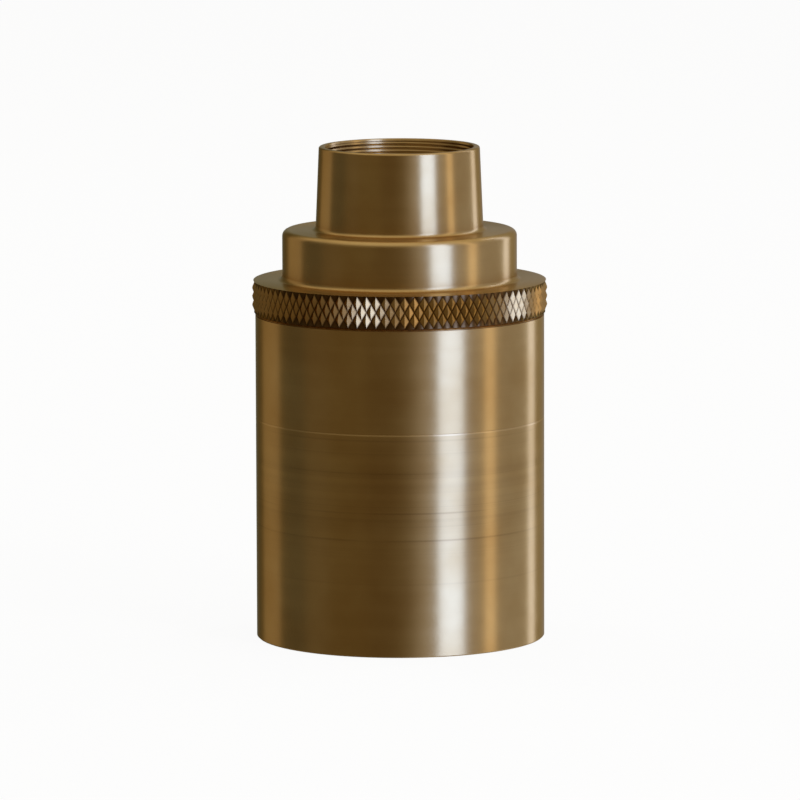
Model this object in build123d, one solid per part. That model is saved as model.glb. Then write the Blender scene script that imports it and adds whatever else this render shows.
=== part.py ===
from build123d import *
import os
from math import atan2, cos, degrees, pi, sin

# Turned brass lamp holder for a large Edison screw lamp. It stands on the open rim of its skirt.
# Millimetres, +Z up through the neck, origin on the axis in the plane of that rim.

# Brass case: heights stack up from the rim
skirt_height = 28.6
sleeve_height = 13.2
rim_height = 4.55
tier_height = 6.45
neck_height = 10.7
case_diameter = 37.2
case_wall = 1.7
tier_diameter = 30.2
neck_foot_diameter = 21.6
neck_lip_diameter = 20.7
neck_lip_wall = 1.1

# Rounds and chamfers of the case
lip_round = 0.3
neck_foot_fillet = 0.7
tier_edge_round = 0.55
tier_foot_fillet = 0.5
rim_edge_round = 0.3
rim_foot_chamfer = 0.5
skirt_chamfer = 0.15
bore_chamfer = 0.3

# Diamond knurl round the cap's rim
knurl_teeth = 96
knurl_depth = 0.4
knurl_row_spacing = 1.04

# Screw joints of the case: cap on sleeve, skirt on sleeve
thread_wall = 0.85
cap_thread_length = 3.0
skirt_thread_length = 4.6
thread_clearance = 0.05
thread_end_gap = 0.2

# Cap inside
neck_thread_length = 6.0
neck_shoulder = 0.65
neck_depth = 11.1
web_thickness = 2.0
tier_wall = 1.9

# Ledge and key inside the sleeve, lip inside the skirt
ledge_rise = 1.0
ledge_thickness = 1.6
ledge_width = 0.8
key_width = 2.0
key_height = 6.3
key_angle = 45.0
key_clearance = 0.2
lip_height = 1.4
lip_width = 0.7

# Insulating liner of the skirt
liner_wall = 0.6
liner_clearance = 0.2
liner_top_gap = 0.6
liner_slit = 1.6
rib_width = 1.1
rib_height = 0.7
rib_length = 8.0

# Porcelain insert
collar_clearance = 0.3
collar_height = 9.3
barrel_gap = 0.4
barrel_length = 24.2
floor_thickness = 8.1
mouth_step = 0.4
porcelain_round = 0.4
terminal_seat = 2.2
terminal_flat = 8.6
recess_width = 13.4

# Edison screw shell, 27 mm
edison_major = 26.7
edison_minor = 24.5
edison_pitch = 3.629
thread_steps = 10
shell_sheet = 0.4
shell_clearance = 0.2
shell_setback = 2.4
shell_floor_hole = 14.8

# Centre contact and its spring
disc_diameter = 17.6
disc_thickness = 0.8
contact_diameter = 4.8
contact_reach = 1.4
contact_flange = 0.6
contact_flange_thickness = 0.8
contact_dome = 0.8
contact_pin_diameter = 3.0
contact_pin_length = 2.0
sliding_clearance = 0.1
pocket_clearance = 0.2
spring_wire = 0.5
spring_diameter = 4.4
spring_turns = 5

# Hollow bolt that carries the insert in the cap, with its washers and locknut
bolt_diameter = 10.0
cord_way = 7.5
bolt_head_flats = 14.0
bolt_head_height = 3.5
bolt_tail = 0.8
running_clearance = 0.06
thrust_washer_diameter = 16.2
thrust_washer_thickness = 0.5
axial_play = 0.05
locknut_flats = 13.0
locknut_height = 2.6

# Cord grip in the bolt's head
grip_seat_diameter = 11.2
grip_seat_depth = 3.0
grip_ring_height = 1.4
grip_ring_clearance = 0.1
grip_washer_thickness = 0.4
grip_nut_height = 2.0
grip_bore = 8.0
grip_slot_width = 1.2
grip_slot_depth = 0.8

# Steel bridge between bolt and porcelain
bridge_sheet = 1.3
bridge_width = 9.0
bridge_leg_span = 19.4
bridge_foot_span = 30.4
bridge_bend = 1.6
bridge_screw_span = 25.2
earth_tab_width = 7.0
earth_tab_reach = 7.2
earth_screw_drop = 2.3
earth_tab_below_screw = 2.7

# Terminal strips, clamp plates, screws and rivets
strip_thickness = 0.7
live_strip_width = 10.0
live_strip_tail = 3.9
neutral_foot_width = 12.4
neutral_foot_length = 4.6
neutral_leg_width = 5.8
strip_above_screw = 2.2
strip_below_screw = 2.8
terminal_screw_height = 3.8
plate_size = 5.4
plate_thickness = 0.9
screw_diameter = 3.0
screw_head_diameter = 4.4
screw_head_height = 1.7
screw_slot_width = 0.7
screw_slot_depth = 0.8
screw_hole_clearance = 0.05
terminal_screw_length = 5.0
earth_screw_length = 2.7
blind_hole_gap = 0.5
bridge_screw_length = 7.4
nut_side = 5.5
nut_height = 2.4
nut_depth = 2.9
pocket_fit = 0.1
rivet_diameter = 1.8
rivet_head_diameter = 2.8
rivet_head_height = 0.5
neutral_rivet_spacing = 9.2
neutral_rivet_reach = 10.3
live_rivet_spacing = 6.6
live_rivet_reach = 6.0

# Heights and radii that follow from the sizes above
case_radius = case_diameter / 2
case_bore = case_radius - case_wall
thread_radius = case_bore + thread_wall
seam = skirt_height
rim_foot = seam + sleeve_height
rim_top = rim_foot + rim_height
tier_top = rim_top + tier_height
lip_top = tier_top + neck_height
web_top = lip_top - neck_depth
web_foot = web_top - web_thickness
cap_ceiling = rim_foot + cap_thread_length + thread_end_gap
neck_bore = neck_lip_diameter / 2 - neck_lip_wall
tier_bore = tier_diameter / 2 - tier_wall
ledge_foot = seam + ledge_rise
ledge_top = ledge_foot + ledge_thickness
ledge_bore = case_bore - ledge_width
collar_radius = case_bore - collar_clearance
collar_top = ledge_top + collar_height
liner_outer = case_bore - liner_clearance
liner_inner = liner_outer - liner_wall
barrel_radius = liner_inner - barrel_gap
barrel_foot = ledge_top - barrel_length
cup_floor = collar_top - floor_thickness
seat_height = cup_floor + terminal_seat
terminal_axis = seat_height + terminal_screw_height
shell_bore = (edison_major + edison_minor) / 4
shell_throw = (edison_major - edison_minor) / 4
shell_outer = shell_bore + shell_sheet
porcelain_bore = edison_major / 2 + shell_sheet + shell_clearance
shell_foot = barrel_foot + shell_setback
mouth_bore = porcelain_bore + mouth_step
disc_top = cup_floor + disc_thickness
pocket_radius = contact_diameter / 2 + contact_flange + pocket_clearance
bolt_radius = bolt_diameter / 2
bolt_head_foot = web_top + axial_play + thrust_washer_thickness
bolt_head_top = bolt_head_foot + bolt_head_height
crown_top = web_foot - axial_play - thrust_washer_thickness
crown_foot = crown_top - bridge_sheet
bolt_foot = crown_foot - locknut_height - bolt_tail
grip_seat = bolt_head_top - grip_seat_depth
foot_top = collar_top + bridge_sheet
earth_axis = crown_foot - earth_screw_drop
leg_face = terminal_flat + strip_thickness
tab_face = earth_tab_reach + bridge_sheet
screw_hole = screw_diameter / 2 + screw_hole_clearance
rivet_hole = rivet_diameter / 2 + thread_clearance


def turned(*corners):
    """A piece turned about Z from corners of (radius, height) or (radius, height, corner round)."""
    points = [(corner[0], 0, corner[1]) for corner in corners]
    rounds = [corner[2] if len(corner) > 2 else 0 for corner in corners]
    outline = make_face(FilletPolyline(*points, radius=rounds, close=True))
    return revolve(outline, Axis.Z, 360)


def drum(radius, low, high, at=(0, 0)):
    """An upright cylinder between two heights."""
    upward = (Align.CENTER, Align.CENTER, Align.MIN)
    return Pos(*at, low) * Cylinder(radius, high - low, align=upward)


def ring(outer, inner, low, high):
    """A flat washer or tube about the axis."""
    return drum(outer, low, high) - drum(inner, low - 1, high + 1)


def block(low, high):
    """A box from its lowest to its highest corner."""
    size = [b - a for a, b in zip(low, high)]
    return Pos(*low) * Box(*size, align=(Align.MIN, Align.MIN, Align.MIN))


def hexagon(flats, low, high):
    """An upright hexagonal prism with two flats facing along Y."""
    outline = RegularPolygon(flats / 2, 6, major_radius=False)
    return Pos(0, 0, low) * extrude(outline, high - low)


def both_sides(piece):
    """A piece and the same piece turned half round the axis."""
    return piece + Rot(0, 0, 180) * piece


def facing_out(piece, distance, height):
    """A piece laid on its side, so that its own up points along +Y, at a distance from the axis."""
    return Pos(0, distance, height) * Rot(-90, 0, 0) * piece


# Cap: neck, tier and knurled rim turned from one bar

knurl_radius = case_radius + knurl_depth
knurl_low = rim_foot + rim_foot_chamfer
knurl_high = rim_top - rim_edge_round
knurl_middle = (knurl_low + knurl_high) / 2
rim_edge_radius = knurl_radius - rim_edge_round
rim_foot_radius = case_radius - knurl_depth / 8


def knurl_point(column, row):
    """A corner of the knurl: crests and groove crossings take turns along each row."""
    radius = knurl_radius if (column + row) % 2 == 0 else case_radius
    angle = column * pi / knurl_teeth
    return Vector(radius * cos(angle), radius * sin(angle), knurl_middle + row * knurl_row_spacing)


def kept_part(corners, height, above):
    """The part of a flat facet above, or below, a height."""
    kept = []
    for start, end in zip(corners, corners[1:] + corners[:1]):
        rise, fall = start.Z - height, end.Z - height
        if (rise >= 0) == above or rise == 0:
            kept.append(start)
        if rise * fall < 0:
            kept.append(start + (end - start) * (rise / (rise - fall)))
    return kept


def knurl_facets():
    """The pyramids' sides between the rim's chamfer and its upper edge, four to a diamond."""
    half_rows = int((knurl_high - knurl_low) / 2 / knurl_row_spacing) + 1
    for row in range(-half_rows, half_rows):
        for column in range(2 * knurl_teeth):
            a, b = knurl_point(column, row), knurl_point(column + 1, row)
            c, d = knurl_point(column, row + 1), knurl_point(column + 1, row + 1)
            crest_first = (column + row) % 2 == 0
            for facet in ([a, b, c], [d, c, b]) if crest_first else ([b, d, a], [c, a, d]):
                facet = kept_part(facet, knurl_low, above=True)
                facet = kept_part(facet, knurl_high, above=False) if facet else facet
                if len(facet) > 2:
                    yield facet


def edge_facets(facets, height, radius, level):
    """Facets that join the knurl, cut off at a height, to a plain edge of this radius at another level."""
    for facet in facets:
        for start, end in zip(facet, facet[1:] + facet[:1]):
            if abs(start.Z - height) < 1e-7 and abs(end.Z - height) < 1e-7:
                under = [on_edge(start, radius, level), on_edge(end, radius, level)]
                yield [start, end, under[1]]
                yield [start, under[1], under[0]]


def on_edge(point, radius, level):
    """The place on a plain edge straight below or above a point of the knurl."""
    angle = atan2(point.Y, point.X)
    return Vector(radius * cos(angle), radius * sin(angle), level)


def flat_rim(facets, level, inner_radius):
    """The flat ring between the many-sided edge at a level and a circle inside it."""
    corners = {}
    for facet in facets:
        for point in facet:
            if abs(point.Z - level) < 1e-7:
                corners[round(degrees(atan2(point.Y, point.X)) % 360, 6)] = point
    outline = Wire.make_polygon([corners[angle] for angle in sorted(corners)], close=True)
    inner = Wire.make_circle(inner_radius, Plane.XY.offset(level))
    return Face(outline, [inner])


def cap():
    foot = tier_diameter / 2 + 2 * tier_foot_fillet
    corners = [
        (foot, rim_top),
        (tier_diameter / 2, rim_top, tier_foot_fillet),
        (tier_diameter / 2, tier_top, tier_edge_round),
        (neck_foot_diameter / 2, tier_top, neck_foot_fillet),
        (neck_lip_diameter / 2, lip_top, lip_round),
        (neck_bore + bore_chamfer, lip_top),
        (neck_bore, lip_top - bore_chamfer),
        (neck_bore, lip_top - neck_thread_length),
        (neck_bore - neck_shoulder, lip_top - neck_thread_length),
        (neck_bore - neck_shoulder, web_top),
        (bolt_radius + running_clearance, web_top),
        (bolt_radius + running_clearance, web_foot),
        (tier_bore, web_foot),
        (tier_bore, cap_ceiling),
        (thread_radius + thread_clearance, cap_ceiling),
        (thread_radius + thread_clearance, rim_foot + bore_chamfer),
        (thread_radius + thread_clearance + bore_chamfer, rim_foot),
    ]
    points = [(corner[0], 0, corner[1]) for corner in corners]
    rounds = [corner[2] if len(corner) > 2 else 0 for corner in corners[1:-1]]
    outline = FilletPolyline(*points, radius=rounds)
    plain = Shell.revolve(Wire(outline.edges()), 360, Axis.Z)
    facets = list(knurl_facets())
    lower = list(edge_facets(facets, knurl_low, rim_foot_radius, rim_foot))
    upper = list(edge_facets(facets, knurl_high, rim_edge_radius, rim_top))
    sides = [Face(Wire.make_polygon(facet, close=True)) for facet in facets + lower + upper]
    under = flat_rim(lower, rim_foot, thread_radius + thread_clearance + bore_chamfer)
    over = flat_rim(upper, rim_top, foot)
    return Solid(Shell([*plain.faces(), *sides, under, over]))


# Sleeve and skirt: tubes that screw together at the seam


def upper_sleeve():
    cap_thread_top = rim_foot + cap_thread_length
    tube = turned(
        (thread_radius, seam - skirt_thread_length),
        (thread_radius, seam),
        (case_radius, seam),
        (case_radius, rim_foot),
        (thread_radius, rim_foot),
        (thread_radius, cap_thread_top),
        (case_bore, cap_thread_top),
        (case_bore, ledge_top),
        (ledge_bore, ledge_top),
        (ledge_bore, ledge_foot),
        (case_bore, ledge_foot),
        (case_bore, seam - skirt_thread_length),
    )
    wall_middle = case_bore + thread_wall / 2
    key = block((ledge_bore, -key_width / 2, ledge_top - ledge_thickness / 2),
                (wall_middle, key_width / 2, ledge_top + key_height))
    return tube + Rot(0, 0, key_angle) * key


def lower_skirt():
    thread_bore = thread_radius + thread_clearance
    thread_foot = seam - skirt_thread_length - thread_end_gap
    lip_bore = case_bore - lip_width
    return turned(
        (case_radius - skirt_chamfer, 0),
        (case_radius, skirt_chamfer),
        (case_radius, seam),
        (thread_bore, seam),
        (thread_bore, thread_foot),
        (case_bore, thread_foot),
        (case_bore, lip_height),
        (lip_bore, lip_height),
        (lip_bore, bore_chamfer),
        (lip_bore + bore_chamfer, 0),
    )


def insulating_liner():
    liner_top = ledge_foot - liner_top_gap
    slit = block((0, -liner_slit / 2, 0), (case_radius, liner_slit / 2, liner_top + 1))
    return ring(liner_outer, liner_inner, lip_height, liner_top) - slit


# Porcelain insert: a cup for the screw shell, with recesses for the terminals on top


def rivet_places(spacing, reach):
    """The places of a pair of rivets, side by side at a distance from the axis."""
    return [(-spacing / 2, reach), (spacing / 2, reach)]


neutral_rivet_places = rivet_places(neutral_rivet_spacing, neutral_rivet_reach)
live_rivet_places = rivet_places(live_rivet_spacing, -live_rivet_reach)


def porcelain_insert():
    disc_seat = disc_diameter / 2 + pocket_fit
    insert = turned(
        (mouth_bore + bore_chamfer, barrel_foot),
        (mouth_bore, barrel_foot + bore_chamfer),
        (mouth_bore, shell_foot),
        (porcelain_bore, shell_foot),
        (porcelain_bore, cup_floor),
        (disc_seat, cup_floor),
        (disc_seat, disc_top),
        (pocket_radius, disc_top),
        (pocket_radius, collar_top),
        (collar_radius, collar_top, porcelain_round),
        (collar_radius, ledge_top),
        (barrel_radius, ledge_top),
        (barrel_radius, barrel_foot, porcelain_round),
    )
    # The rib stays below the ledge when the sleeve is let down by the length of the cap's thread
    rib_top = ledge_foot - cap_thread_length - liner_top_gap
    insert += block((barrel_radius - porcelain_round, -rib_width / 2, rib_top - rib_length),
                    (barrel_radius + rib_height, rib_width / 2, rib_top))
    beyond = case_radius
    insert -= both_sides(block((-recess_width / 2, terminal_flat, seat_height),
                               (recess_width / 2, beyond, collar_top + 1)))
    screw_end = leg_face + plate_thickness - terminal_screw_length - blind_hole_gap
    insert -= both_sides(facing_out(drum(screw_hole, 0, beyond), screw_end, terminal_axis))
    bridge_hole_foot = foot_top - bridge_screw_length - blind_hole_gap
    bridge_hole = drum(screw_hole, bridge_hole_foot, collar_top + 1, (bridge_screw_span / 2, 0))
    nut_half = nut_side / 2 + pocket_fit
    nut_top = collar_top - nut_depth
    nut_pocket = block((bridge_screw_span / 2 - nut_half, -nut_half, nut_top - nut_height - pocket_fit),
                       (beyond, nut_half, nut_top + pocket_fit))
    insert -= both_sides(bridge_hole + nut_pocket)
    half_groove = key_width / 2 + key_clearance
    groove = block((ledge_bore - key_clearance, -half_groove, ledge_top - 1),
                   (beyond, half_groove, collar_top + 1))
    insert -= Rot(0, 0, key_angle) * groove
    for place in neutral_rivet_places:
        insert -= drum(rivet_hole, cup_floor - 1, seat_height + 1, place)
    for place in live_rivet_places:
        insert -= drum(rivet_hole, disc_top - 1, collar_top + 1, place)
        head_seat = rivet_head_diameter / 2 + pocket_fit
        insert -= drum(head_seat, disc_top - 1, disc_top + rivet_head_height + pocket_fit, place)
    return insert


# Screw shell: sheet brass rolled to the lamp thread, a round section that turns as it rises


def rolled(radius, top):
    """A solid whose round sections stay off the axis by the thread's throw, each turned a step further."""
    height = top - shell_foot
    steps = round(height / edison_pitch * thread_steps)
    sections = []
    for step in range(steps + 1):
        rise = height * step / steps
        turn = 2 * pi * rise / edison_pitch
        centre = (shell_throw * cos(turn), shell_throw * sin(turn), shell_foot + rise)
        sections.append(Wire.make_circle(radius, Plane(centre)))
    return Solid.make_loft(sections, ruled=True)


def screw_shell():
    outside = rolled(shell_outer, cup_floor)
    inside = rolled(shell_bore, cup_floor - shell_sheet)
    threads = [*outside.faces().filter_by(GeomType.PLANE, reverse=True),
               *inside.faces().filter_by(GeomType.PLANE, reverse=True)]
    rims = [solid.faces().filter_by(GeomType.PLANE).sort_by(Axis.Z) for solid in (outside, inside)]
    hole = drum(shell_floor_hole / 2, cup_floor - shell_sheet, cup_floor)
    hole_side = hole.faces().filter_by(GeomType.CYLINDER)[0]
    hole_edges = [face.outer_wire() for face in hole.faces().filter_by(GeomType.PLANE).sort_by(Axis.Z)]
    mouth = Face(rims[0][0].outer_wire(), [rims[1][0].outer_wire()])
    floor_under = Face(rims[1][1].outer_wire(), [hole_edges[0]])
    floor_top = Face(rims[0][1].outer_wire(), [hole_edges[1]])
    shell = Solid(Shell([*threads, mouth, floor_under, floor_top, hole_side]))
    for place in neutral_rivet_places:
        shell -= drum(rivet_hole, cup_floor - 1, cup_floor + 1, place)
    return shell


# Centre contact: a domed brass plunger that a coil spring pushes down through an insulating disc


def insulating_disc():
    return ring(disc_diameter / 2, contact_diameter / 2 + sliding_clearance, cup_floor, disc_top)


def centre_contact():
    radius = contact_diameter / 2
    flange_top = disc_top + contact_flange_thickness
    tip = cup_floor - contact_reach
    return turned(
        (0, tip),
        (radius, tip, contact_dome),
        (radius, disc_top),
        (radius + contact_flange, disc_top),
        (radius + contact_flange, flange_top),
        (contact_pin_diameter / 2, flange_top),
        (contact_pin_diameter / 2, flange_top + contact_pin_length),
        (0, flange_top + contact_pin_length),
    )


def contact_spring():
    low = disc_top + contact_flange_thickness + spring_wire / 2
    height = collar_top - spring_wire / 2 - low
    path = Helix(height / spring_turns, height, spring_diameter / 2, center=(0, 0, low))
    section = Plane(origin=path @ 0, z_dir=path % 0) * Circle(spring_wire / 2)
    return sweep(section, path=path, is_frenet=True)


# Hollow bolt, thrust washers and locknut, on which the cap turns


def hollow_bolt():
    bolt = hexagon(bolt_head_flats, bolt_head_foot, bolt_head_top)
    bolt += drum(bolt_radius, bolt_foot, bolt_head_foot)
    bolt -= drum(cord_way / 2, bolt_foot - 1, bolt_head_top + 1)
    return bolt - drum(grip_seat_diameter / 2, grip_seat, bolt_head_top + 1)


def thrust_washer(low):
    hole = bolt_radius + running_clearance
    return ring(thrust_washer_diameter / 2, hole, low, low + thrust_washer_thickness)


def bolt_locknut():
    hole = drum(bolt_radius + thread_clearance, crown_foot - locknut_height - 1, crown_foot + 1)
    return hexagon(locknut_flats, crown_foot - locknut_height, crown_foot) - hole


# Cord grip: a slotted nut that presses a rubber ring through a washer

grip_washer_foot = grip_seat + grip_ring_height
grip_nut_foot = grip_washer_foot + grip_washer_thickness
grip_outer = grip_seat_diameter / 2 - grip_ring_clearance


def cord_grip_ring():
    return ring(grip_outer, grip_bore / 2, grip_seat, grip_washer_foot)


def cord_grip_washer():
    return ring(grip_outer, grip_bore / 2, grip_washer_foot, grip_nut_foot)


def cord_grip_nut():
    top = grip_nut_foot + grip_nut_height
    nut = ring(grip_seat_diameter / 2 - thread_clearance, grip_bore / 2, grip_nut_foot, top)
    reach = grip_seat_diameter
    return nut - block((-reach, -grip_slot_width / 2, top - grip_slot_depth),
                       (reach, grip_slot_width / 2, top + 1))


# Steel bridge: a bent strip with a tab for the earth screw


def mounting_bridge():
    leg_out, foot_out = bridge_leg_span / 2, bridge_foot_span / 2
    leg_in = leg_out - bridge_sheet
    inner_bend = bridge_bend - bridge_sheet
    half = [
        (foot_out, collar_top, 0),
        (leg_in, collar_top, bridge_bend),
        (leg_in, crown_foot, inner_bend),
    ]
    back = [
        (leg_out, crown_top, bridge_bend),
        (leg_out, foot_top, inner_bend),
        (foot_out, foot_top, 0),
    ]
    left = [(-x, z, bend) for x, z, bend in reversed(half)]
    left += [(-x, z, bend) for x, z, bend in reversed(back)]
    corners = half + left + back
    outline = FilletPolyline(*[(x, 0, z) for x, z, bend in corners],
                             radius=[bend for x, z, bend in corners], close=True)
    bridge = extrude(make_face(outline), bridge_width / 2, both=True)
    half_tab = earth_tab_width / 2
    tab_corner = (half_tab, tab_face, crown_top)
    bridge += block((-half_tab, 0, crown_foot), tab_corner)
    bridge += block((-half_tab, earth_tab_reach, earth_axis - earth_tab_below_screw), tab_corner)
    bridge -= drum(bolt_radius + thread_clearance, crown_foot - 1, crown_top + 1)
    bridge -= facing_out(drum(screw_hole, -1, bridge_sheet + 1), earth_tab_reach, earth_axis)
    return bridge - both_sides(drum(screw_hole, collar_top - 1, foot_top + 1, (bridge_screw_span / 2, 0)))


# Screws, nuts, clamp plates, terminal strips and rivets


def machine_screw(length):
    """A slotted pan head screw, pointing down from a head that stands on Z = 0."""
    screw = drum(screw_head_diameter / 2, 0, screw_head_height) + drum(screw_diameter / 2, -length, 0)
    reach = screw_head_diameter
    return screw - block((-reach, -screw_slot_width / 2, screw_head_height - screw_slot_depth),
                         (reach, screw_slot_width / 2, screw_head_height + 1))


def clamp_plate():
    half = plate_size / 2
    return block((-half, -half, 0), (half, half, plate_thickness)) - drum(screw_hole, -1, plate_thickness + 1)


def bridge_screws():
    return both_sides(Pos(bridge_screw_span / 2, 0, foot_top) * machine_screw(bridge_screw_length))


def bridge_nuts():
    top = collar_top - nut_depth
    half, middle = nut_side / 2, bridge_screw_span / 2
    nut = block((middle - half, -half, top - nut_height), (middle + half, half, top))
    return both_sides(nut - drum(screw_hole, top - nut_height - 1, top + 1, (middle, 0)))


def neutral_strip():
    foot_half, leg_half = neutral_foot_width / 2, neutral_leg_width / 2
    foot = (foot_half, terminal_flat + neutral_foot_length, seat_height + strip_thickness)
    leg = (leg_half, leg_face, terminal_axis + strip_above_screw)
    strip = block((-foot_half, terminal_flat, seat_height), foot)
    strip += block((-leg_half, terminal_flat, seat_height), leg)
    strip -= facing_out(drum(screw_hole, -1, strip_thickness + 1), terminal_flat, terminal_axis)
    for place in neutral_rivet_places:
        strip -= drum(rivet_hole, seat_height - 1, seat_height + strip_thickness + 1, place)
    return strip


def live_strip():
    half = live_strip_width / 2
    top = collar_top + strip_thickness
    strip = block((-half, -leg_face, collar_top), (half, live_strip_tail, top))
    strip += block((-half, -leg_face, terminal_axis - strip_below_screw), (half, -terminal_flat, top))
    strip -= Rot(0, 0, 180) * facing_out(drum(screw_hole, -1, strip_thickness + 1), terminal_flat, terminal_axis)
    for place in live_rivet_places:
        strip -= drum(rivet_hole, collar_top - 1, top + 1, place)
    return strip


def rivets(places, low, high):
    """Rivets that hold everything between two heights, with a head at each end."""
    pair = Part()
    for place in places:
        pair += drum(rivet_diameter / 2, low, high, place)
        pair += drum(rivet_head_diameter / 2, low - rivet_head_height, low, place)
        pair += drum(rivet_head_diameter / 2, high, high + rivet_head_height, place)
    return pair


earth_plate = facing_out(clamp_plate(), tab_face, earth_axis)
earth_screw = facing_out(machine_screw(earth_screw_length), tab_face + plate_thickness, earth_axis)
neutral_plate = facing_out(clamp_plate(), leg_face, terminal_axis)
neutral_screw = facing_out(machine_screw(terminal_screw_length), leg_face + plate_thickness, terminal_axis)

nodes = {
    "cap": cap(),
    "upper_sleeve": upper_sleeve(),
    "lower_skirt": lower_skirt(),
    "insulating_liner": insulating_liner(),
    "porcelain_insert": porcelain_insert(),
    "screw_shell": screw_shell(),
    "insulating_disc": insulating_disc(),
    "centre_contact": centre_contact(),
    "contact_spring": contact_spring(),
    "hollow_bolt": hollow_bolt(),
    "upper_thrust_washer": thrust_washer(web_top + axial_play),
    "lower_thrust_washer": thrust_washer(crown_top),
    "bolt_locknut": bolt_locknut(),
    "cord_grip_ring": cord_grip_ring(),
    "cord_grip_washer": cord_grip_washer(),
    "cord_grip_nut": cord_grip_nut(),
    "mounting_bridge": mounting_bridge(),
    "bridge_screws": bridge_screws(),
    "bridge_nuts": bridge_nuts(),
    "earth_clamp_plate": earth_plate,
    "earth_screw": earth_screw,
    "live_strip": live_strip(),
    "live_rivets": rivets(live_rivet_places, disc_top + rivet_head_height, collar_top + strip_thickness),
    "live_clamp_plate": Rot(0, 0, 180) * neutral_plate,
    "live_screw": Rot(0, 0, 180) * neutral_screw,
    "neutral_strip": neutral_strip(),
    "neutral_rivets": rivets(neutral_rivet_places, cup_floor - shell_sheet, seat_height + strip_thickness),
    "neutral_clamp_plate": neutral_plate,
    "neutral_screw": neutral_screw,
}

os.makedirs("parts", exist_ok=True)
for name, shape in nodes.items():
    export_step(shape, f"parts/{name}.step")
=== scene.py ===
from math import atan2, cos, pi, radians, sin, tan

import bpy
from mathutils import Matrix, Vector


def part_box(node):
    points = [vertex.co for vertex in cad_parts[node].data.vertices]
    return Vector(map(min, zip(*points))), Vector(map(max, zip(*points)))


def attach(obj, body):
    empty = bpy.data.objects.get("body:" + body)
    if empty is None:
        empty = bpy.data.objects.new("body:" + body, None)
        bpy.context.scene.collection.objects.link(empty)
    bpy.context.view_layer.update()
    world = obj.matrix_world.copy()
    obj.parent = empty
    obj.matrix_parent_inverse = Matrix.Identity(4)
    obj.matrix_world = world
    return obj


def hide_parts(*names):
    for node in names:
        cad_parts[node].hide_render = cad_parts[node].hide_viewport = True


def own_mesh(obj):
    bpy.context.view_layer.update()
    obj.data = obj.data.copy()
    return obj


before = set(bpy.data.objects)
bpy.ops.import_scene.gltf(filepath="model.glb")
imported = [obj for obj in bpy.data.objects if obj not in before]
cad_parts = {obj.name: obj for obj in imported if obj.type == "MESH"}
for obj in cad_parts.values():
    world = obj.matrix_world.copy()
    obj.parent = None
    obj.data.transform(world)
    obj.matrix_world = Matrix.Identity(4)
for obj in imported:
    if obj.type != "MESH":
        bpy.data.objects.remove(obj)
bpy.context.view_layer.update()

# Turned brass lamp holder for lamps with a 27 mm screw cap, standing on the open rim of its skirt.
# Lengths are in metres, and mm turns a size in millimetres into them.
mm = 0.001


# Camera: a long lens almost a metre off, a hand above the holder and looking down on it.
# It is rolled a little, so the neck leans to the left by a hair.
camera_distance = 964.3 * mm
camera_height = 162.0 * mm
camera_fall = radians(7.76)
camera_roll = radians(0.168)
focal_pixels = 7544
picture_pixels = 800
sensor_width = 36

camera = bpy.data.objects.new("camera", bpy.data.cameras.new("camera"))
bpy.context.scene.collection.objects.link(camera)
bpy.context.scene.camera = camera
camera.data.sensor_width = sensor_width
camera.data.lens = focal_pixels / picture_pixels * sensor_width
camera.location = (0, -camera_distance, camera_height)
aim = Matrix.Rotation(radians(90) - camera_fall, 3, "X") @ Matrix.Rotation(-camera_roll, 3, "Z")
camera.rotation_euler = aim.to_euler()
bpy.context.scene.view_settings.view_transform = "Standard"


# Studio floor: a white paper sweep, lit so that the camera sees it as plain white with a faint shadow.
# It stays out of the metal's reflections, and it is clear from below, so that the open end of the
# holder can be looked at.
floor_size = 8.0
floor_shadow = 0.07
floor_gap = 0.02 * mm


def linear(code):
    """An sRGB hex colour as the linear values that shaders take."""
    parts = [int(code[i:i + 2], 16) / 255 for i in (1, 3, 5)]
    return [p / 12.92 if p <= 0.04045 else ((p + 0.055) / 1.055) ** 2.4 for p in parts] + [1]


def add(tree, kind, inputs=None, **settings):
    """Add a node with its settings. An input takes a value, an output, or a node for its first output."""
    node = tree.nodes.new(kind)
    for name, value in settings.items():
        setattr(node, name, value)
    for key, value in (inputs or {}).items():
        source = value.outputs[0] if isinstance(value, bpy.types.Node) else value
        if isinstance(source, bpy.types.NodeSocket):
            tree.links.new(source, node.inputs[key])
        else:
            node.inputs[key].default_value = source
    return node


def material(name):
    """A new material and its empty node tree."""
    made = bpy.data.materials.new(name)
    made.use_nodes = True
    made.node_tree.nodes.clear()
    return made, made.node_tree


def mesh_object(name, mesh):
    """An object for a mesh, linked into the scene."""
    made = bpy.data.objects.new(name, mesh)
    bpy.context.scene.collection.objects.link(made)
    return made


white_sweep, tree = material("white sweep")
rays = add(tree, "ShaderNodeLightPath")
paper = add(tree, "ShaderNodeBsdfDiffuse", {"Color": linear("#f4f4f4")})
bright = add(tree, "ShaderNodeEmission", {"Color": linear("#ffffff"), "Strength": 1.0})
share = add(tree, "ShaderNodeMath", {0: rays.outputs["Is Camera Ray"], 1: 1 - floor_shadow},
            operation="MULTIPLY")
both = add(tree, "ShaderNodeMixShader", {0: share, 1: paper, 2: bright})
below = add(tree, "ShaderNodeNewGeometry").outputs["Backfacing"]
open_below = add(tree, "ShaderNodeMixShader", {0: below, 1: both, 2: add(tree, "ShaderNodeBsdfTransparent")})
add(tree, "ShaderNodeOutputMaterial", {"Surface": open_below})

half_floor = floor_size / 2
floor_corners = ((-1, -1), (1, -1), (1, 1), (-1, 1))
floor_mesh = bpy.data.meshes.new("floor")
floor_mesh.from_pydata([(x * half_floor, y * half_floor, -floor_gap) for x, y in floor_corners],
                       [], [(0, 1, 2, 3)])
floor = mesh_object("floor", floor_mesh)
floor.data.materials.append(white_sweep)
floor.visible_glossy = False
floor.visible_shadow = False


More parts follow.
